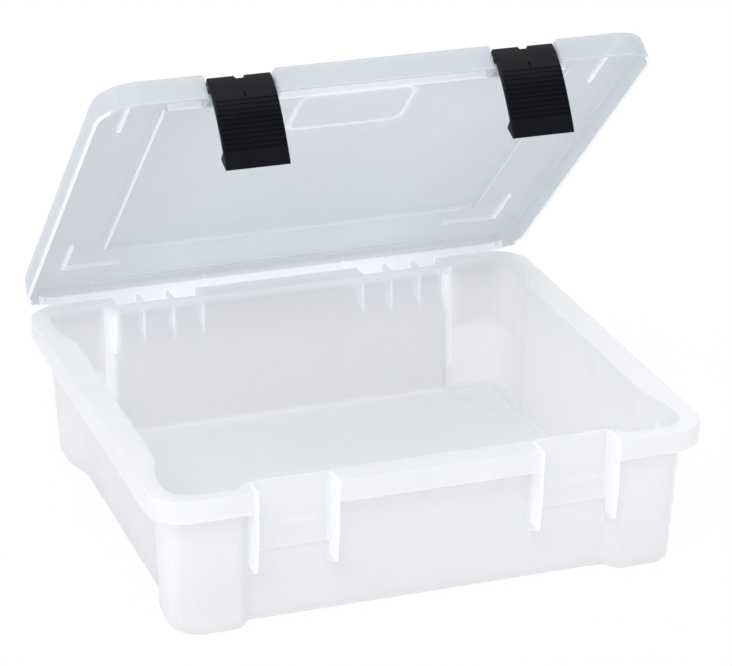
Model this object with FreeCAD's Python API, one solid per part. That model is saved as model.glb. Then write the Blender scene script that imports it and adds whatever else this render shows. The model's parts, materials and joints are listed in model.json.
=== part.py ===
"""Fishing tackle box: a clear moulded tub, a hinged lid and two front latches.

Millimetres, +X to the right, +Y to the back, +Z up.  The origin is on the ground,
at the centre of the rim's footprint.  The lid group is drawn closed and then turned
about the hinge axis to the angle at which the box stands open.
"""
import FreeCAD, Part
import math
import os

Vec = FreeCAD.Vector

# Tub walls
RIM_TOP = 107.7
WALL = 2.6
FLOOR = 2.8
MID_X_RIM = 183.6           # half width between the corner posts, at the rim
MID_X_FOOT = 177.6
MID_Y_RIM = 165.0
MID_Y_FOOT = 161.4
POST_OUT_X = 7.8            # how far a corner post stands out of the side wall
POST_OUT_Y = 10.4
POST_RADIUS = 21.0
JOG_X = (131.0, 141.0)      # where the front wall steps out to a post
JOG_Y_FOOT = (100.0, 125.0)
JOG_Y_RIM = (106.0, 135.0)
JOG_RADIUS_X = 4.0
JOG_RADIUS_Y = 45.0
FOOT_ROUND = 2.4
FLOOR_ROUND = 3.5
MOUTH_CHAMFER = 0.8

# Rim flange and the skirt under its edge
RIM_HALF_X = 203.0
RIM_HALF_Y = 184.4
RIM_RADIUS = 27.5
RIM_PLATE = 2.4
RIM_ROUND = 1.1
RIB_ROUND = 0.7
SKIRT_DEPTH = 15.5
SKIRT_WALL = 2.2

# Latch recesses in the tub's front
LATCH_X = 103.2
RIB = 2.4
RIB_OUTER = 29.9            # from a recess's middle to a rib's outer face
RIB_STRAIGHT = 70.0         # height where a rib's front edge starts to taper
RIB_KNEE = (180.5, 45.0)
RIB_FOOT = 37.0
PAD_FACE = 165.6
PAD_FOOT = 55.5
CATCH_HALF = 19.0
CATCH_OUT = 2.3
CATCH_BOTTOM = 70.0
CATCH_NOSE = 73.0
CATCH_TOP = 76.8

# Hinge
AXIS_Y = 176.0
AXIS_Z = 91.7
OPEN_ANGLE = 43.5
GUSSET = 2.4
GUSSET_X = (65.6, 89.2, 113.0, 134.2)
GUSSET_TIP_Z = 75.5
GUSSET_KNEE = (184.4, 93.0)
POCKET_FRONT = 168.0
PIN_RADIUS = 1.5
FIXED_GAP = 0.02            # radial gap where a pin is held
RUNNING_GAP = 0.06          # radial gap where a part turns on a pin
PIN_OVERRUN = 0.5
ARM = 2.8
ARM_SIDE_GAP = 0.7
KNUCKLE_RADIUS = 4.5

# Lid, drawn closed
LID_BOTTOM = 108.45
LID_TOP = 126.9
LID_WALL = 2.2
LID_PLATE = 3.0
LID_HALF_X = 203.4
LID_FRONT = -181.2
LID_BACK = 175.2
LID_RADIUS = 28.0
LID_DRAFT = 1.4
LID_ROUND = 1.8
REAR_EDGE_RAISE = 1.3
REAR_EDGE_FROM = 165.0
PANEL_HALF_X = 150.0        # the sunk panel, measured on the lid's inner side
PANEL_Y = (-143.8, 102.0)
PANEL_DROP = 4.7
PANEL_RADIUS = 7.0
PANEL_ROUND = 1.2
CORNER_RIB = 3.0            # the low ribs by the corners, on the lid's inner side
CORNER_RIB_DROP = 2.4
CORNER_RIB_X = 175.5
CORNER_RIB_FRONT = (-178.0, -110.0)
CORNER_RIB_REAR = (90.0, 134.0)
CORNER_RIB_RETURN = 132.0
SKIRT_RIB = 1.6             # the small upright ribs on the rear skirt's inner side
SKIRT_RIB_OUT = 2.2
SKIRT_RIB_PLACES = ((57.0, 172.9), (146.0, 172.9), (185.5, 168.5))
SKIRT_RIB_BOTTOM = 111.5
PLAQUE_CENTRE = (-6.0, -110.0)
PLAQUE_HALF = (44.0, 28.0)
PLAQUE_RISE = 0.8
PLAQUE_BORDER = 3.0
PLAQUE_RADIUS = 10.0

# Latch notches in the lid's front edge
NOTCH_HALF = 24.2
NOTCH_DEPTH = 15.0
NOTCH_RADIUS = 3.0
NOTCH_CORNER = 2.6
CHEEK = 2.2

# Latches, drawn with the lid closed and the hook just clear of the catch
LATCH_HALF = 22.7
LATCH_PIVOT = (-174.0, 119.0)
BARREL_RADIUS = 4.2
LATCH_CREST = (-177.6, 124.3)
LATCH_UPPER = (-181.2, 113.0)
LATCH_BELLY = (-182.0, 101.0)
LATCH_LOWER = (-179.9, 80.5)
LATCH_TIP = (-174.8, 57.0)
HOOK_HEEL = (-173.4, 57.4)
HOOK_NOSE = (-168.6, 67.0)
HOOK_LAND = 1.8
HOOK_ROOT = (-175.4, 70.0)
LATCH_INNER_MID = (-178.5, 96.0)
LATCH_INNER_TOP = (-178.2, 113.5)
LATCH_EDGE_ROUND = 1.0
THUMB_NOTCH_RADIUS = 3.5
GROOVES = 11
GROOVE_PITCH = 3.39
GROOVE_TOP = 104.0
GROOVE_RADIUS = 0.95
GROOVE_MARGIN = 0.9
SLIT_HALF = 0.55             # the short upright slit above the grooves
SLIT_DEPTH = 1.2
SLIT_Z = (106.4, 110.2)


def rounded_wire(corners, z):
    """A closed wire at height z through (x, y, radius) corners, with tangent arcs."""
    points = [Vec(x, y, z) for x, y, radius in corners]
    count = len(corners)
    arcs = []
    for i in range(count):
        here = points[i]
        back = (points[i - 1] - here).normalize()
        ahead = (points[(i + 1) % count] - here).normalize()
        half = back.getAngle(ahead) / 2
        radius = corners[i][2]
        reach = radius / math.tan(half)
        centre = here + (back + ahead).normalize() * (radius / math.sin(half))
        middle = centre + (here - centre).normalize() * radius
        arcs.append((here + back * reach, middle, here + ahead * reach))
    edges = []
    for i in range(count):
        start, middle, end = arcs[i]
        edges.append(Part.Arc(start, middle, end).toShape())
        edges.append(Part.LineSegment(end, arcs[(i + 1) % count][0]).toShape())
    return Part.Wire(edges)


def rectangle(x0, x1, y0, y1, radius, z):
    """A rounded rectangle wire at height z."""
    return rounded_wire([(x1, y0, radius), (x1, y1, radius), (x0, y1, radius), (x0, y0, radius)], z)


def prism(wire, height):
    """The solid between a flat wire and its copy raised by height."""
    return Part.Face(wire).extrude(Vec(0, 0, height))


def block(x0, x1, y0, y1, z0, z1):
    return Part.makeBox(x1 - x0, y1 - y0, z1 - z0, Vec(x0, y0, z0))


def plate(outline, x0, x1):
    """A flat plate square to X, from its (y, z) outline."""
    points = [Vec(x0, y, z) for y, z in outline]
    return Part.Face(Part.makePolygon(points + points[:1])).extrude(Vec(x1 - x0, 0, 0))


def rod(radius, x0, x1, y, z):
    """A cylinder along X."""
    return Part.makeCylinder(radius, x1 - x0, Vec(x0, y, z), Vec(1, 0, 0))


def edges_at(shape, z):
    """Edges that lie wholly at height z."""
    return [edge for edge in shape.Edges
            if abs(edge.BoundBox.ZMin - z) < 1e-6 and abs(edge.BoundBox.ZMax - z) < 1e-6]


def blend(foot, rim, z):
    """The value at height z of a drafted size given at the foot and at the rim."""
    return foot + (rim - foot) * z / RIM_TOP


def tub_section(z, inset):
    """The tub wall's outline at height z, moved in by inset."""
    mid_x = blend(MID_X_FOOT, MID_X_RIM, z) - inset
    mid_y = blend(MID_Y_FOOT, MID_Y_RIM, z) - inset
    post_x = mid_x + POST_OUT_X
    post_y = mid_y + POST_OUT_Y
    shift = 0.4 * inset
    jog_y0 = blend(JOG_Y_FOOT[0], JOG_Y_RIM[0], z)
    jog_y1 = blend(JOG_Y_FOOT[1], JOG_Y_RIM[1], z)
    quarter = [
        (mid_x, jog_y0, JOG_RADIUS_Y),
        (post_x, jog_y1, JOG_RADIUS_Y),
        (post_x, post_y, POST_RADIUS - inset),
        (JOG_X[1] + shift, post_y, JOG_RADIUS_X),
        (JOG_X[0] + shift, mid_y, JOG_RADIUS_X),
    ]
    corners = list(quarter)
    corners += [(-x, y, radius) for x, y, radius in reversed(quarter)]
    corners += [(-x, -y, radius) for x, y, radius in quarter]
    corners += [(x, -y, radius) for x, y, radius in reversed(quarter)]
    return rounded_wire(corners, z)


def rim():
    """The rim flange with its skirt, open between the latch ribs and hinge gussets."""
    skirt_foot = RIM_TOP - SKIRT_DEPTH
    outer = prism(rectangle(-RIM_HALF_X, RIM_HALF_X, -RIM_HALF_Y, RIM_HALF_Y, RIM_RADIUS, skirt_foot),
                  SKIRT_DEPTH)
    outer = outer.makeFillet(RIM_ROUND, edges_at(outer, RIM_TOP))
    half_x = RIM_HALF_X - SKIRT_WALL
    half_y = RIM_HALF_Y - SKIRT_WALL
    under = prism(rectangle(-half_x, half_x, -half_y, half_y, RIM_RADIUS - SKIRT_WALL, skirt_foot - 1),
                  SKIRT_DEPTH - RIM_PLATE + 1)
    cuts = [under]
    for side in (-1, 1):
        middle = side * LATCH_X
        half = RIB_OUTER - RIB
        cuts.append(block(middle - half, middle + half, -RIM_HALF_Y - 1, -PAD_FACE,
                          skirt_foot - 1, RIM_TOP + 1))
        for x0, x1 in pocket_spans():
            low, high = sorted((side * x0, side * x1))
            cuts.append(block(low, high, POCKET_FRONT, RIM_HALF_Y + 1, skirt_foot - 1, RIM_TOP + 1))
    return outer.cut(cuts)


def pocket_spans():
    """The clear gaps between neighbouring hinge gussets, on the +X side."""
    return [(GUSSET_X[i] + GUSSET / 2, GUSSET_X[i + 1] - GUSSET / 2) for i in range(len(GUSSET_X) - 1)]


def latch_recess(middle):
    """The two ribs, the landing pad and the catch of one latch."""
    inside = -MID_Y_FOOT + WALL / 2
    rib_outline = [
        (inside, RIM_TOP),
        (-RIM_HALF_Y + RIM_ROUND, RIM_TOP),
        (-RIM_HALF_Y, RIM_TOP - RIM_ROUND),
        (-RIM_HALF_Y, RIB_STRAIGHT),
        (-RIB_KNEE[0], RIB_KNEE[1]),
        (inside, RIB_FOOT),
    ]
    catch_outline = [
        (inside, CATCH_BOTTOM),
        (-PAD_FACE - CATCH_OUT, CATCH_BOTTOM),
        (-PAD_FACE - CATCH_OUT, CATCH_NOSE),
        (-PAD_FACE, CATCH_TOP),
        (inside, CATCH_TOP),
    ]
    inner = RIB_OUTER - RIB
    ribs = []
    for x0, x1 in ((middle - RIB_OUTER, middle - inner), (middle + inner, middle + RIB_OUTER)):
        rib = plate(rib_outline, x0, x1)
        fronts = [edge for edge in rib.Edges if edge.BoundBox.YMax < -RIB_KNEE[0] + 1e-3
                  and edge.BoundBox.XMax - edge.BoundBox.XMin < 1e-6]
        ribs.append(rib.makeFillet(RIB_ROUND, fronts))
    return ribs + [
        block(middle - inner, middle + inner, -PAD_FACE, inside, PAD_FOOT, RIM_TOP),
        plate(catch_outline, middle - CATCH_HALF, middle + CATCH_HALF),
    ]


def gusset(middle):
    """One hinge gusset under the rear rim."""
    inside = MID_Y_FOOT - WALL / 2
    wall_y = blend(MID_Y_FOOT, MID_Y_RIM, GUSSET_TIP_Z)
    outline = [
        (inside, GUSSET_TIP_Z),
        (wall_y, GUSSET_TIP_Z),
        GUSSET_KNEE,
        (GUSSET_KNEE[0], RIM_TOP - RIM_ROUND),
        (GUSSET_KNEE[0] - RIM_ROUND, RIM_TOP),
        (inside, RIM_TOP),
    ]
    return plate(outline, middle - GUSSET / 2, middle + GUSSET / 2)


def tub():
    """The whole base moulding."""
    walls = Part.makeLoft([tub_section(0, 0), tub_section(RIM_TOP, 0)], True, True)
    walls = walls.makeFillet(FOOT_ROUND, edges_at(walls, 0))
    cavity = Part.makeLoft([tub_section(FLOOR, WALL), tub_section(RIM_TOP + 1, WALL)], True, True)
    cavity = cavity.makeFillet(FLOOR_ROUND, edges_at(cavity, FLOOR))
    mouth = Part.makeLoft([tub_section(RIM_TOP - MOUTH_CHAMFER, WALL),
                           tub_section(RIM_TOP, WALL - MOUTH_CHAMFER)], True, True)
    added = [rim()]
    for side in (-1, 1):
        added += latch_recess(side * LATCH_X)
        added += [gusset(side * x) for x in GUSSET_X]
    holes = [cavity, mouth]
    hole_radius = PIN_RADIUS + FIXED_GAP
    for side in (-1, 1):
        low, high = hinge_pin_span(side)
        holes.append(rod(hole_radius, low - 1, high + 1, AXIS_Y, AXIS_Z))
    return walls.fuse(added).cut(holes).removeSplitter()


def hinge_pin_span(side):
    """The two ends in X of a hinge pin."""
    near = GUSSET_X[0] - GUSSET / 2 - PIN_OVERRUN
    far = GUSSET_X[-1] + GUSSET / 2 + PIN_OVERRUN
    return sorted((side * near, side * far))


def lid_section(z, inset, radius=LID_RADIUS):
    """The lid skirt's outline at height z, moved in by inset, with its draft."""
    inward = inset + LID_DRAFT * (z - LID_BOTTOM) / (LID_TOP - LID_BOTTOM)
    return rectangle(-LID_HALF_X + inward, LID_HALF_X - inward, LID_FRONT + inward, LID_BACK - inward,
                     radius - inset, z)


def panel(inset, z0, z1):
    """The sunk panel's block between two heights, moved in by inset."""
    wire = rectangle(-PANEL_HALF_X + inset, PANEL_HALF_X - inset, PANEL_Y[0] + inset, PANEL_Y[1] - inset,
                     PANEL_RADIUS - inset, z0)
    return prism(wire, z1 - z0)


def lid_arms():
    """Hinge arms with their knuckles, one in each pocket."""
    arms = []
    for side in (-1, 1):
        for x0, x1 in pocket_spans():
            low, high = sorted((side * (x0 + ARM_SIDE_GAP), side * (x1 - ARM_SIDE_GAP)))
            arms.append(block(low, high, LID_BACK - ARM, LID_BACK - LID_DRAFT / 4,
                              AXIS_Z, LID_TOP - LID_PLATE))
            arms.append(rod(KNUCKLE_RADIUS, low, high, AXIS_Y, AXIS_Z))
    return arms


def corner_ribs(side):
    """The low ribs by the lid's corners on one side, hanging from its plate."""
    x0, x1 = sorted((side * (CORNER_RIB_X - CORNER_RIB / 2), side * (CORNER_RIB_X + CORNER_RIB / 2)))
    r0, r1 = sorted((side * CORNER_RIB_RETURN, side * (CORNER_RIB_X + CORNER_RIB / 2)))
    low = LID_TOP - LID_PLATE - CORNER_RIB_DROP
    high = LID_TOP - LID_PLATE / 2
    return [
        block(x0, x1, CORNER_RIB_FRONT[0], CORNER_RIB_FRONT[1], low, high),
        block(x0, x1, CORNER_RIB_REAR[0], CORNER_RIB_REAR[1], low, high),
        block(r0, r1, CORNER_RIB_REAR[1] - CORNER_RIB, CORNER_RIB_REAR[1], low, high),
    ]


def skirt_ribs(solid):
    """The small upright ribs on the rear skirt's inner side, kept within the lid's outside."""
    ribs = []
    for side in (-1, 1):
        for x, y in SKIRT_RIB_PLACES:
            low, high = sorted((side * x - SKIRT_RIB / 2, side * x + SKIRT_RIB / 2))
            rib = block(low, high, y - SKIRT_RIB_OUT, LID_BACK, SKIRT_RIB_BOTTOM, LID_TOP - LID_PLATE / 2)
            ribs.append(rib.common(solid))
    return ribs


def plaque():
    """The blank raised border on the sunk panel's upper face."""
    x, y = PLAQUE_CENTRE
    hx, hy = PLAQUE_HALF
    top = LID_TOP - LID_PLATE - PANEL_DROP + LID_WALL
    outer = prism(rectangle(x - hx, x + hx, y - hy, y + hy, PLAQUE_RADIUS, top - LID_WALL / 2),
                  PLAQUE_RISE + LID_WALL / 2)
    b = PLAQUE_BORDER
    inner = prism(rectangle(x - hx + b, x + hx - b, y - hy + b, y + hy - b, PLAQUE_RADIUS - b, top),
                  PLAQUE_RISE + 1)
    return outer.cut(inner)


def lid():
    """The whole lid moulding, closed."""
    shell = Part.makeLoft([lid_section(LID_BOTTOM, 0), lid_section(LID_TOP, 0)], True, True)
    shell = shell.makeFillet(LID_ROUND, edges_at(shell, LID_TOP))
    ceiling = LID_TOP - LID_PLATE
    void = Part.makeLoft([lid_section(LID_BOTTOM - 1, LID_WALL), lid_section(ceiling, LID_WALL)], True, True)
    underside = ceiling - PANEL_DROP
    sunk = panel(0, underside, LID_TOP)
    void = void.cut(sunk.makeFillet(PANEL_ROUND, edges_at(sunk, underside)))
    pocket = panel(LID_WALL, underside + LID_WALL, LID_TOP + 1)
    notch_walls = []
    notches = []
    bores = []
    half = NOTCH_HALF + CHEEK
    back = LID_FRONT + NOTCH_DEPTH
    for side in (-1, 1):
        x = side * LATCH_X
        walls = block(x - half, x + half, LID_FRONT - 1, back + CHEEK, LID_BOTTOM, LID_TOP)
        notch_walls.append(walls.common(shell))
        wire = rectangle(x - NOTCH_HALF, x + NOTCH_HALF, LID_FRONT - NOTCH_DEPTH, back, NOTCH_RADIUS,
                         LID_BOTTOM - 1)
        notches.append(prism(wire, LID_TOP - LID_BOTTOM + 2))
        bores.append(rod(PIN_RADIUS + FIXED_GAP, x - half - 1, x + half + 1, *LATCH_PIVOT))
        low, high = hinge_pin_span(side)
        bores.append(rod(PIN_RADIUS + RUNNING_GAP, low - 1, high + 1, AXIS_Y, AXIS_Z))
    rear_edge = block(-LID_HALF_X - 1, LID_HALF_X + 1, REAR_EDGE_FROM, LID_BACK + 1,
                      LID_BOTTOM - 1, LID_BOTTOM + REAR_EDGE_RAISE)
    outside = shell
    shell = shell.cut([void, pocket, rear_edge])
    added = notch_walls + [plaque()] + lid_arms() + skirt_ribs(outside)
    for side in (-1, 1):
        added += corner_ribs(side)
    return round_notches(shell.fuse(added).cut(notches).removeSplitter()).cut(bores)


def round_notches(shape):
    """Round the upright edges where the front skirt turns into the latch notches."""
    corners = []
    for edge in shape.Edges:
        box = edge.BoundBox
        beside = min(abs(abs(box.Center.x) - LATCH_X - step) for step in (-NOTCH_HALF, NOTCH_HALF))
        if beside < 1e-3 and box.YMax < LID_FRONT + LID_DRAFT + 0.1 and box.ZLength > 8:
            corners.append(edge)
    return shape.makeFillet(NOTCH_CORNER, corners)


def arc(start, middle, end, x):
    """A circular arc in the plane square to X, through three (y, z) points."""
    return Part.Arc(Vec(x, *start), Vec(x, *middle), Vec(x, *end))


def latch(middle):
    """One latch: a curved plate with a barrel at the top and a hook at the foot."""
    x0 = middle - LATCH_HALF
    upper = arc(LATCH_CREST, LATCH_UPPER, LATCH_BELLY, x0)
    lower = arc(LATCH_BELLY, LATCH_LOWER, LATCH_TIP, x0)
    inner = arc(HOOK_ROOT, LATCH_INNER_MID, LATCH_INNER_TOP, x0)
    pivot_y, pivot_z = LATCH_PIVOT
    hook = [LATCH_TIP, HOOK_HEEL, HOOK_NOSE, (HOOK_NOSE[0], HOOK_NOSE[1] + HOOK_LAND), HOOK_ROOT]
    head = [LATCH_INNER_TOP, (pivot_y, pivot_z - BARREL_RADIUS), (pivot_y, pivot_z + BARREL_RADIUS),
            LATCH_CREST]
    edges = [upper.toShape(), lower.toShape()]
    edges += [Part.LineSegment(Vec(x0, *a), Vec(x0, *b)).toShape() for a, b in zip(hook, hook[1:])]
    edges.append(inner.toShape())
    edges += [Part.LineSegment(Vec(x0, *a), Vec(x0, *b)).toShape() for a, b in zip(head, head[1:])]
    body = Part.Face(Part.Wire(edges)).extrude(Vec(2 * LATCH_HALF, 0, 0))
    sides = []
    for edge in body.Edges:
        box = edge.BoundBox
        on_side = box.XMax - box.XMin < 1e-6
        if on_side and edge.Length > 15 and box.YMin < LATCH_CREST[0] - 1:
            sides.append(edge)
    outer_sides = [edge for edge in sides if edge.BoundBox.YMin < LATCH_BELLY[0] + 1e-3]
    body = body.makeFillet(LATCH_EDGE_ROUND, outer_sides)
    barrel = rod(BARREL_RADIUS, x0, middle + LATCH_HALF, pivot_y, pivot_z)
    cuts = [rod(PIN_RADIUS + RUNNING_GAP, x0 - 1, middle + LATCH_HALF + 1, pivot_y, pivot_z)]
    cuts.append(Part.makeCylinder(THUMB_NOTCH_RADIUS, 10, Vec(middle, LATCH_CREST[0] - 7.5, LATCH_CREST[1]),
                                  Vec(0, 1, 0)))
    for i in range(GROOVES):
        z = GROOVE_TOP - i * GROOVE_PITCH
        curve = upper if z > LATCH_BELLY[1] else lower
        circle = curve.toShape().Curve
        y = circle.Center.y - math.sqrt(circle.Radius ** 2 - (z - circle.Center.z) ** 2)
        cuts.append(rod(GROOVE_RADIUS, x0 + GROOVE_MARGIN, middle + LATCH_HALF - GROOVE_MARGIN, y, z))
    cuts.append(block(middle - SLIT_HALF, middle + SLIT_HALF, LATCH_UPPER[0] - 2, LATCH_UPPER[0] + SLIT_DEPTH,
                      *SLIT_Z))
    return body.fuse(barrel).cut(cuts).removeSplitter()


def opened(shape):
    """Turn a closed lid part about the hinge axis to the rest pose."""
    turned = shape.copy()
    turned.rotate(Vec(0, AXIS_Y, AXIS_Z), Vec(-1, 0, 0), OPEN_ANGLE)
    return turned


def hinge_pin(side):
    low, high = hinge_pin_span(side)
    return rod(PIN_RADIUS, low, high, AXIS_Y, AXIS_Z)


def latch_pin(side):
    half = NOTCH_HALF + CHEEK
    return rod(PIN_RADIUS, side * LATCH_X - half, side * LATCH_X + half, *LATCH_PIVOT)


def main():
    os.makedirs("parts", exist_ok=True)
    nodes = {"tub": tub(), "lid": opened(lid())}
    for name, side in (("left", -1), ("right", 1)):
        nodes["latch_" + name] = opened(latch(side * LATCH_X))
        nodes["latch_pin_" + name] = opened(latch_pin(side))
        nodes["hinge_pin_" + name] = hinge_pin(side)
    for name, shape in nodes.items():
        solid = shape.Solids[0]
        print(name, "solids", len(shape.Solids), "valid", shape.isValid(), "volume", round(solid.Volume))
        solid.exportStep("parts/" + name + ".step")


main()
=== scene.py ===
import json
import math
import bpy
from mathutils import Matrix, Vector


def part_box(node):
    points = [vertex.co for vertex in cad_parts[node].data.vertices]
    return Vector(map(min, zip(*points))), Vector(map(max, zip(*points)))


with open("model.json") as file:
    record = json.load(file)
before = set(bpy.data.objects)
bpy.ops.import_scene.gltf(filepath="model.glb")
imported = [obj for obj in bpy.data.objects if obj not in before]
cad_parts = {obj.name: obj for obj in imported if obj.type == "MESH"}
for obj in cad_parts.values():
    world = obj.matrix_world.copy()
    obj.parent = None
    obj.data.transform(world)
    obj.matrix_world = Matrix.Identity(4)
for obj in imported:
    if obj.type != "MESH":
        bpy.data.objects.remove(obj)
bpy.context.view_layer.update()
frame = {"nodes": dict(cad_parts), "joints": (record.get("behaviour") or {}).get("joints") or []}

NODES = frame["nodes"]
JOINTS = {joint["name"]: joint for joint in frame["joints"]}
SCENE = bpy.context.scene


# ---------------------------------------------------------------- node helpers

class Graph:
    """The node tree of a material or world, with short ways to add and join nodes."""

    def __init__(self, owner, output="ShaderNodeOutputMaterial"):
        self.owner = owner
        owner.use_nodes = True
        self.tree = owner.node_tree
        self.tree.nodes.clear()
        self.output = self.add(output)
        self.coords = self.add("ShaderNodeTexCoord").outputs["Object"]

    def add(self, kind, **settings):
        node = self.tree.nodes.new(kind)
        for key, value in settings.items():
            setattr(node, key, value)
        return node

    def put(self, socket, value):
        """Join value to the socket if it is a socket, and set it otherwise."""
        if isinstance(value, bpy.types.NodeSocket):
            self.tree.links.new(value, socket)
        else:
            socket.default_value = value

    def math(self, operation, a, b=0.0):
        node = self.add("ShaderNodeMath", operation=operation)
        self.put(node.inputs[0], a)
        self.put(node.inputs[1], b)
        return node.outputs[0]

    def vector(self, operation, a, b=(0.0, 0.0, 0.0)):
        node = self.add("ShaderNodeVectorMath", operation=operation)
        self.put(node.inputs[0], a)
        self.put(node.inputs[1], b)
        return node.outputs[0]

    def split(self, vector):
        node = self.add("ShaderNodeSeparateXYZ")
        self.put(node.inputs[0], vector)
        return node.outputs

    def span(self, value, source, target, curve="LINEAR"):
        """Map a value from the source range to the target range, held at its ends."""
        node = self.add("ShaderNodeMapRange", interpolation_type=curve)
        self.put(node.inputs["Value"], value)
        node.inputs["From Min"].default_value, node.inputs["From Max"].default_value = source
        node.inputs["To Min"].default_value, node.inputs["To Max"].default_value = target
        return node.outputs[0]

    def noise(self, scale, detail=3.0, roughness=0.5, stretch=(1, 1, 1), warp=0.0):
        mapping = self.add("ShaderNodeMapping")
        self.put(mapping.inputs["Vector"], self.coords)
        mapping.inputs["Scale"].default_value = stretch
        node = self.add("ShaderNodeTexNoise")
        self.put(node.inputs["Vector"], mapping.outputs[0])
        node.inputs["Scale"].default_value = scale
        node.inputs["Detail"].default_value = detail
        node.inputs["Roughness"].default_value = roughness
        node.inputs["Distortion"].default_value = warp
        return node.outputs["Fac"]

    def vary(self, noise, low, high):
        """Map a noise's usual range to low..high."""
        return self.span(noise, (0.25, 0.75), (low, high))

    def tint(self, factor, low, high, blend="MIX"):
        node = self.add("ShaderNodeMix", data_type="RGBA", blend_type=blend)
        self.put(node.inputs["Factor"], factor)
        for name, colour in (("A", low), ("B", high)):
            joined = isinstance(colour, bpy.types.NodeSocket)
            self.put(node.inputs[name], colour if joined else (*colour, 1.0))
        return node.outputs["Result"]

    def bump(self, height, strength, distance):
        node = self.add("ShaderNodeBump")
        node.inputs["Strength"].default_value = strength
        node.inputs["Distance"].default_value = distance
        self.put(node.inputs["Height"], height)
        return node.outputs[0]

    def shader(self, kind, **values):
        """A shader node with its inputs set, an underscore standing for a space."""
        node = self.add(kind)
        for key, value in values.items():
            self.put(node.inputs[key.replace("_", " ")], value)
        return node

    def mix(self, factor, a, b):
        node = self.add("ShaderNodeMixShader")
        self.put(node.inputs[0], factor)
        self.put(node.inputs[1], a.outputs[0])
        self.put(node.inputs[2], b.outputs[0])
        return node

    def edges(self, radius, gain):
        """1 along the part's edges and 0 away from them, from how far a rounded normal leans."""
        bevel = self.add("ShaderNodeBevel", samples=6)
        bevel.inputs["Radius"].default_value = radius
        lean = self.add("ShaderNodeVectorMath", operation="DOT_PRODUCT")
        self.put(lean.inputs[0], bevel.outputs[0])
        self.put(lean.inputs[1], self.add("ShaderNodeNewGeometry").outputs["Normal"])
        mask = self.math("MULTIPLY", self.math("SUBTRACT", 1.0, lean.outputs["Value"]), gain)
        mask.node.use_clamp = True
        return mask

    def turned(self, centre, angle):
        """The object's coordinates, turned about an axis along X."""
        node = self.add("ShaderNodeVectorRotate", rotation_type="X_AXIS")
        self.put(node.inputs["Vector"], self.coords)
        node.inputs["Center"].default_value = centre
        node.inputs["Angle"].default_value = angle
        return node.outputs[0]

    def mirrored(self, place):
        """The same coordinates with X made positive."""
        x, y, z = self.split(place)
        node = self.add("ShaderNodeCombineXYZ")
        for socket, value in zip(node.inputs, (self.math("ABSOLUTE", x), y, z)):
            self.put(socket, value)
        return node.outputs[0]

    def within(self, place, x, y, z, soft, strength):
        """The strength inside a box, fading to 0 over a soft distance outside it."""
        centre = [(low + high) / 2 for low, high in (x, y, z)]
        half = [(high - low) / 2 for low, high in (x, y, z)]
        away = self.vector("ABSOLUTE", self.vector("SUBTRACT", place, centre))
        beyond = self.split(self.vector("SUBTRACT", away, half))
        worst = self.math("MAXIMUM", self.math("MAXIMUM", beyond[0], beyond[1]), beyond[2])
        return self.span(worst, (0.0, soft), (strength, 0.0), "SMOOTHSTEP")

    def zones(self, place, boxes):
        """The strongest of several boxes, each (x, y, z, soft, strength)."""
        value = 0.0
        for box in boxes:
            value = self.math("MAXIMUM", value, self.within(place, *box))
        return value

    def beside(self):
        """1 where the camera sees the surroundings straight, 0 through the plastic and for light."""
        path = self.add("ShaderNodeLightPath").outputs
        straight = self.math("LESS_THAN", path["Transparent Depth"], 0.5)
        return self.math("MULTIPLY", path["Is Camera Ray"], straight)

    def finish(self, shader):
        self.put(self.output.inputs["Surface"], shader.outputs[0])
        return self.owner


# ------------------------------------------------------------------- materials

EDGE_RADIUS = 0.0016            # how far from an edge the painted edge highlight reaches
# The painted highlight's colour and wall density, on edges and in the lit boxes.
HIGHLIGHT_WHITE = (0.97, 0.975, 0.985)
EDGE_DENSITY = 0.9
SHADE = (0.5, 0.52, 0.58)       # the colour that a full shaded zone multiplies by
SHADE_THIN = 0.3                # how much less dense a full shaded zone is


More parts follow.
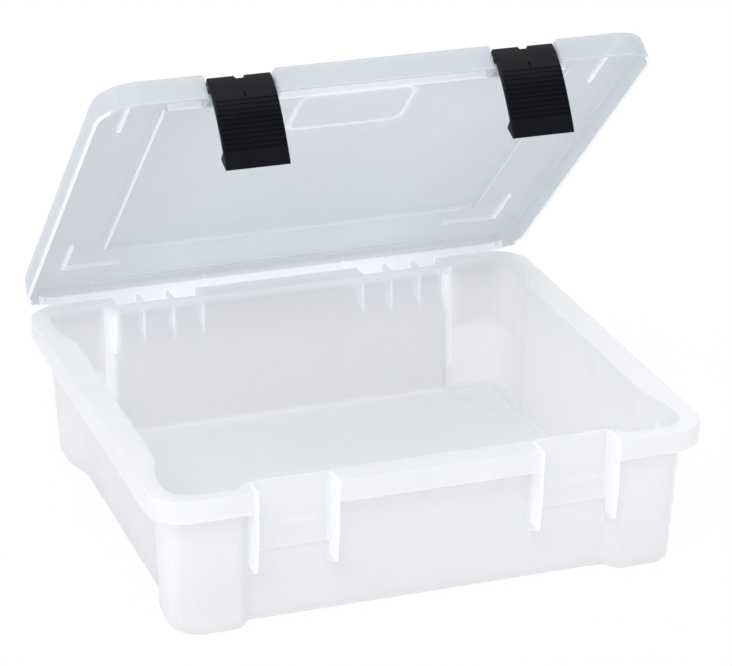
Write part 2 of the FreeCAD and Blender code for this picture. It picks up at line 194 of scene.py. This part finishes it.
def frosted(name, low, high, solid, glow, roughness, grain, edge_gain, edge_light, lit, lit_light,
            quiet=(), shaded=(), turn=None):
    """Frosted polypropylene: partly see-through, partly lit through its wall, with a moulded gloss.

    Edges and the lit boxes carry a painted highlight, whiter and denser than the walls, with a little
    emission so that they glow though the plastic is no lamp.
    The lit boxes say where a rib or other moulding gets painted highlight, the quiet boxes where an edge's
    painted highlight is softer, and the shaded boxes where painted shade darkens a fold or wall.
    """
    g = Graph(bpy.data.materials.new(name))
    place = g.mirrored(g.turned(*turn) if turn else g.coords)
    cloud = g.noise(9.0, 4.0, 0.55, warp=0.6)
    flow = g.noise(22.0, 2.0, 0.5, stretch=(1.0, 0.35, 1.0))
    fine = g.noise(1400.0, 2.0, 0.6)
    edges = g.edges(EDGE_RADIUS, edge_gain)
    # The quiet boxes hold back the painted edge highlight.
    if quiet:
        edges = g.math("MULTIPLY", edges, g.math("SUBTRACT", 1.0, g.zones(place, quiet)))
    # Painted highlight: the edge mask and the lit boxes tint the colour toward white and make the wall
    # denser.
    zone_highlight = g.zones(place, lit)
    bright = g.math("MINIMUM", g.math("MAXIMUM", edges, zone_highlight), 1.0)
    colour = g.tint(bright, g.tint(cloud, low, high), HIGHLIGHT_WHITE)
    dense = g.math("ADD", g.vary(cloud, solid - 0.03, solid + 0.03),
                   g.math("MULTIPLY", bright, EDGE_DENSITY - solid))
    # Painted shade: the shaded boxes darken the colour and thin the wall.
    if shaded:
        shade = g.zones(place, shaded)
        dense = g.math("SUBTRACT", dense, g.math("MULTIPLY", shade, SHADE_THIN))
        colour = g.tint(shade, colour, SHADE, "MULTIPLY")
    normal = g.bump(g.math("ADD", flow, g.math("MULTIPLY", fine, grain)), 0.12, 0.0006)
    rough = g.math("ADD", g.vary(cloud, roughness - 0.05, roughness + 0.06), g.vary(fine, -0.02, 0.02))
    # The painted highlight also glows: emission on edges and lit boxes, though the plastic is no lamp.
    light = g.math("ADD", g.math("MULTIPLY", edges, edge_light), g.math("MULTIPLY", zone_highlight, lit_light))
    skin = g.shader("ShaderNodeBsdfPrincipled", Base_Color=colour, Roughness=rough, IOR=1.49, Normal=normal,
                    Emission_Color=colour, Emission_Strength=light)
    through = g.shader("ShaderNodeBsdfTranslucent", Color=colour, Normal=normal)
    clear = g.add("ShaderNodeBsdfTransparent")
    return g.finish(g.mix(dense, clear, g.mix(glow, skin, through)))


def black_plastic(name, head_low, head_high):
    """Satin black latch plastic with a fine moulded grain, a little glossier on the head than on the grip."""
    g = Graph(bpy.data.materials.new(name))
    cloud = g.noise(60.0, 3.0, 0.55)
    fine = g.noise(2600.0, 2.0, 0.6)
    gloss = g.span(g.split(g.coords)[2], (head_low, head_high), (0.09, 0.25), "SMOOTHSTEP")
    colour = g.tint(cloud, (0.0024, 0.0026, 0.0046), (0.0046, 0.005, 0.0082))
    rough = g.math("ADD", g.vary(cloud, 0.36, 0.46), g.vary(fine, -0.03, 0.03))
    return g.finish(g.shader("ShaderNodeBsdfPrincipled", Base_Color=colour, Roughness=rough, IOR=1.5,
                             Specular_IOR_Level=gloss, Normal=g.bump(fine, 0.18, 0.00012)))


def drawn_steel(name):
    """Plain drawn rod, with fine lines along it."""
    g = Graph(bpy.data.materials.new(name))
    lines = g.noise(900.0, 3.0, 0.6, stretch=(0.04, 1.0, 1.0))
    colour = g.tint(lines, (0.5, 0.5, 0.51), (0.66, 0.66, 0.67))
    return g.finish(g.shader("ShaderNodeBsdfPrincipled", Base_Color=colour, Metallic=1.0,
                             Roughness=g.vary(lines, 0.24, 0.4), Normal=g.bump(lines, 0.2, 0.0001)))


def dress(node, material):
    """Give a CAD node one material in every slot."""
    mesh = NODES[node].data
    mesh.materials.clear()
    mesh.materials.append(material)


# Where painted highlights and painted shade go on the mouldings: boxes of (x, y, z, soft, strength), mirrored
# in X.
# The tub's are in its own coordinates.
TUB_LOW, TUB_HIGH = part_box("tub")
FRONT, BACK, RIM = TUB_LOW[1], TUB_HIGH[1], TUB_HIGH[2]
LATCH_X = JOINTS["latch_right_pivot"]["pos_m"][0]
LATCH_RIB_X = 0.0287            # from a latch's middle to the ribs beside it
HALF_RIB = 0.0012
# Painted highlights on the tub: whiter colour and a little emission, strongest as a glow on the hinge
# gussets.
TUB_LIT = [
    ((0.0640, 0.1360), (BACK - 0.0182, BACK), (0.0700, 0.0985), 0.0020, 5.0),       # hinge gussets
    ((0.1368, 0.1425), (0.1560, 0.1760), (0.0200, 0.1040), 0.0012, 0.9),            # steps to the rear posts
    ((0.1860, 0.1950), (-0.1720, -0.1300), (0.0000, 0.0850), 0.0060, 0.5),          # sides of the front posts
    ((0.0000, 0.1300), (0.1566, 0.1586), (0.0028, 0.0048), 0.0004, 0.3),            # where floor meets back
    ((0.0000, 0.1700), (-0.1560, 0.1550), (0.0000, 0.0029), 0.0030, 0.22),          # the floor
]
# Painted highlights on the ribs beside each latch.
for rib_x in (LATCH_X - LATCH_RIB_X, LATCH_X + LATCH_RIB_X):
    TUB_LIT.append(((rib_x - HALF_RIB, rib_x + HALF_RIB), (FRONT - 0.0016, FRONT + 0.0180),
                    (0.0460, RIM + 0.0003), 0.0006, 0.8))
# Where the tub's painted edge highlight is held back.
TUB_QUIET = [
    ((LATCH_X - 0.0202, LATCH_X + 0.0203), (-0.1690, -0.1645), (0.0690, 0.0780), 0.0010, 0.9),     # catches
]
# Painted shade on the tub: a darker colour and a thinner wall.
TUB_SHADED = [
    ((0.0000, 0.1330), (0.1560, 0.1665), (0.0080, 0.1000), 0.0060, 0.26),           # the thin back wall
    ((0.1520, 0.1760), (0.1500, 0.1800), (0.0600, 0.0950), 0.0140, 0.22),           # inside the rear posts
]

# The lid's are in its coordinates when it is closed on the tub.
LID_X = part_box("lid")[1][0]
CORNER_RIB_X = (0.1738, 0.1772)
UNDER_PLATE = (0.1205, 0.1236)      # the height of what hangs from the lid's plate
PANEL_X = 0.1506                    # the sunk panel's half width and its two ends
PANEL_FRONT, PANEL_REAR = -0.1445, 0.1027
PANEL_FOOT = 0.1185
# Painted highlights on the lid: whiter colour and a little emission.
LID_LIT = [
    (CORNER_RIB_X, (-0.1785, -0.1095), UNDER_PLATE, 0.0003, 1.5),                   # ribs by the corners
    (CORNER_RIB_X, (0.0895, 0.1345), UNDER_PLATE, 0.0003, 1.4),
    ((0.1315, CORNER_RIB_X[1]), (0.1307, 0.1345), UNDER_PLATE, 0.0003, 0.8),
    ((PANEL_X - 0.0015, PANEL_X), (PANEL_FRONT, PANEL_REAR), (PANEL_FOOT, 0.1214), 0.0004, 1.7),     # panel
    ((0.0, PANEL_X), (PANEL_FRONT, PANEL_FRONT + 0.0018), (PANEL_FOOT, UNDER_PLATE[1]), 0.0003, 1.1),
    ((0.0, PANEL_X), (PANEL_REAR - 0.0017, PANEL_REAR), (PANEL_FOOT, UNDER_PLATE[1]), 0.0003, 1.9),
    ((0.1950, LID_X + 0.0006), (-0.1850, 0.1600), (0.1080, 0.1096), 0.0004, 2.2),   # foot of the side skirts
    ((LID_X - 0.0024, LID_X + 0.0016), (-0.1800, 0.1500), (0.1080, 0.1250), 0.0010, 0.25),       # skirts
    ((0.0000, 0.1700), (0.1300, 0.1700), (0.1225, 0.1245), 0.0350, 0.2),            # margin behind the panel
    ((0.0000, 0.1900), (0.1680, 0.1770), (0.0850, 0.1150), 0.0015, 1.1),            # arms, foot of rear skirt
    ((0.0000, 0.0510), (-0.1390, -0.0810), (0.1216, 0.1226), 0.0002, 3.0),          # border of the plaque
]
# Painted shade on the lid: a darker colour and a thinner wall.
LID_SHADED = [
    ((0.0000, 0.1960), (0.1705, 0.1780), (0.1205, 0.1250), 0.0035, 0.26),           # fold by the rear skirt
    ((0.0000, 0.1480), (0.0955, 0.0980), (0.1180, 0.1198), 0.0015, 0.45),           # before the panel's rear
    ((0.1600, 0.2100), (-0.1800, 0.1600), (0.1160, 0.1250), 0.0900, 0.18),          # towards the sides
    ((0.0000, 0.2050), (-0.1840, -0.1770), (0.1080, 0.1275), 0.0010, 0.22),         # the front skirt
]
HINGE = JOINTS["lid_hinge"]
LID_CLOSED = (HINGE["pos_m"], -math.radians(HINGE["range_deg"][0]))
LATCH_LOW, LATCH_HIGH = (corner[2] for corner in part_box("latch_left"))
LATCH_RISE = LATCH_HIGH - LATCH_LOW

tub_plastic = frosted("tub_plastic", (0.92, 0.925, 0.94), (0.95, 0.953, 0.965), solid=0.62, glow=0.38,
                      roughness=0.3, grain=0.25, edge_gain=2.2, edge_light=0.12, lit=TUB_LIT, lit_light=0.08,
                      quiet=TUB_QUIET, shaded=TUB_SHADED)
# The lid is darker and bluer than the tub: partly its own tint and partly painted shade.
lid_plastic = frosted("lid_plastic", (0.745, 0.79, 0.835), (0.80, 0.84, 0.875), solid=0.64, glow=0.3,
                      roughness=0.34, grain=0.3, edge_gain=3.0, edge_light=0.12, lit=LID_LIT, lit_light=0.12,
                      shaded=LID_SHADED, turn=LID_CLOSED)
latch_plastic = black_plastic("latch_plastic", LATCH_LOW + 0.55 * LATCH_RISE, LATCH_LOW + 0.85 * LATCH_RISE)
pin_steel = drawn_steel("pin_steel")

dress("tub", tub_plastic)
dress("lid", lid_plastic)
for side in ("left", "right"):
    dress("latch_" + side, latch_plastic)
    dress("latch_pin_" + side, pin_steel)
    dress("hinge_pin_" + side, pin_steel)


# ---------------------------------------------------------------------- camera

AZIMUTH = math.radians(-19.52)
ELEVATION = math.radians(22.71)
ROLL = math.radians(0.334)
TARGET = Vector((0.00968, 0.0, 0.13193))
DISTANCE = 2.263


def add_camera():
    back = Vector((math.sin(AZIMUTH) * math.cos(ELEVATION), -math.cos(AZIMUTH) * math.cos(ELEVATION),
                   math.sin(ELEVATION)))
    right = Vector((math.cos(AZIMUTH), math.sin(AZIMUTH), 0.0))
    up = back.cross(right)
    rolled_right = right * math.cos(ROLL) + up * math.sin(ROLL)
    rolled_up = up * math.cos(ROLL) - right * math.sin(ROLL)
    camera = bpy.data.objects.new("camera", bpy.data.cameras.new("camera"))
    camera.data.lens = 152.2
    camera.data.sensor_width = 36.0
    camera.data.clip_start = 0.05
    camera.data.clip_end = 50.0
    placed = Matrix((rolled_right, rolled_up, back)).transposed().to_4x4()
    placed.translation = TARGET + back * DISTANCE
    camera.matrix_world = placed
    SCENE.collection.objects.link(camera)
    SCENE.camera = camera


add_camera()


# ----------------------------------------------------------- floor and lighting

BEHIND = 0.76           # how bright the floor looks through the plastic, next to 1 beside it
WORLD_LIGHT = 0.735     # how strongly the surroundings light the object
FLOOR_HALF = 8.0
FLOOR_DROP = 0.0004     # keeps the sheet just clear of the underside


def area_light(name, place, aim, size, power):
    data = bpy.data.lights.new(name, "AREA")
    data.shape = "RECTANGLE"
    data.size, data.size_y = size
    data.energy = power
    light = bpy.data.objects.new(name, data)
    light.location = place
    light.rotation_euler = (Vector(aim) - Vector(place)).to_track_quat("-Z", "Y").to_euler()
    SCENE.collection.objects.link(light)


def pale_floor():
    """A wide white sheet that stays bright, with only a breath of shadow."""
    mesh = bpy.data.meshes.new("floor")
    corners = [(x * FLOOR_HALF, y * FLOOR_HALF, 0) for x, y in ((-1, -1), (1, -1), (1, 1), (-1, 1))]
    mesh.from_pydata(corners, [], [(0, 1, 2, 3)])
    floor = bpy.data.objects.new("floor", mesh)
    floor.location.z = -FLOOR_DROP
    SCENE.collection.objects.link(floor)
    g = Graph(bpy.data.materials.new("floor_paper"))
    paper = g.shader("ShaderNodeBsdfDiffuse", Color=(0.95, 0.95, 0.95, 1.0))
    strength = g.math("ADD", BEHIND, g.math("MULTIPLY", g.beside(), 1.0 - BEHIND))
    glow = g.shader("ShaderNodeEmission", Strength=strength)
    camera_ray = g.add("ShaderNodeLightPath").outputs["Is Camera Ray"]
    mesh.materials.append(g.finish(g.mix(g.math("MULTIPLY", camera_ray, 0.9), paper, glow)))


def studio_world():
    """White surroundings that light the object a little less than they show."""
    world = bpy.data.worlds.new("studio")
    SCENE.world = world
    g = Graph(world, "ShaderNodeOutputWorld")
    strength = g.math("ADD", WORLD_LIGHT, g.math("MULTIPLY", g.beside(), 1.0 - WORLD_LIGHT))
    g.finish(g.shader("ShaderNodeBackground", Color=(1.0, 1.0, 1.0, 1.0), Strength=strength))


pale_floor()
studio_world()
area_light("key", (-0.9, -1.4, 1.9), (0, 0, 0.1), (1.6, 1.2), 23.0)
area_light("fill", (1.8, -0.9, 1.1), (0, 0, 0.1), (1.4, 1.4), 4.0)
area_light("side", (-1.9, -0.3, 0.9), (0, 0, 0.1), (1.2, 1.2), 3.0)
area_light("rim", (0.4, 1.6, 1.4), (0, 0, 0.15), (1.8, 1.0), 10.0)

SCENE.view_settings.view_transform = "Standard"
SCENE.cycles.transparent_max_bounces = 24
SCENE.cycles.diffuse_bounces = 8
